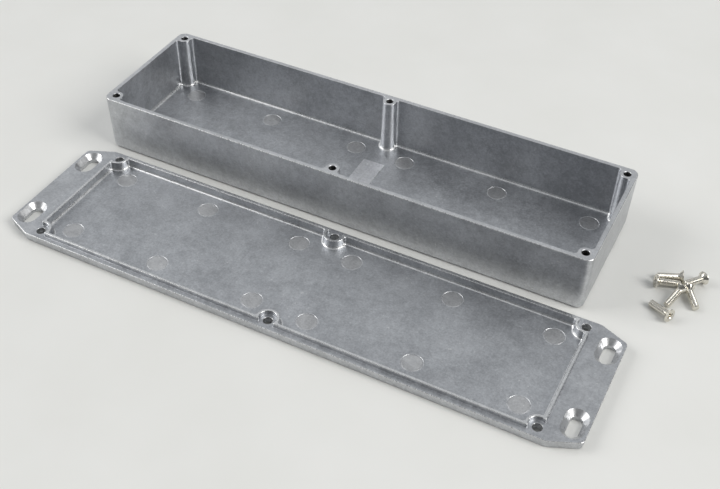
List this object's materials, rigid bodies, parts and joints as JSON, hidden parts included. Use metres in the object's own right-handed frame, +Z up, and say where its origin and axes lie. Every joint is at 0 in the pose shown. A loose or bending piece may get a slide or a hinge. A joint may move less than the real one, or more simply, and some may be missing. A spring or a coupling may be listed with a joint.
{
  "type": "die cast aluminium enclosure with flanged lid",
  "caption": "Long shallow die cast aluminium box shown open, its flanged lid lying inside up in front and its countersunk lid screws loose beside it.",
  "frame": {"origin": "centre of the box's outside base, on the surface that everything rests on", "axes": "+X along the box's length, +Y across it away from the lid, +Z up out of the open box"},
  "size_m": [0.3032, 0.1472, 0.03],
  "materials": {
    "box_casting": "as-cast matt, fine grained",
    "lid_casting": "as-cast matt, fine grained",
    "screw_steel": "bright nickel plated steel"
  },
  "bodies": {
    "root": {"box_body": "box_casting", "flanged_lid": "lid_casting", "lid_screw_1": "screw_steel", "lid_screw_2": "screw_steel", "lid_screw_3": "screw_steel", "lid_screw_4": "screw_steel", "lid_screw_5": "screw_steel", "lid_screw_6": "screw_steel"}
  },
  "joints": []
}
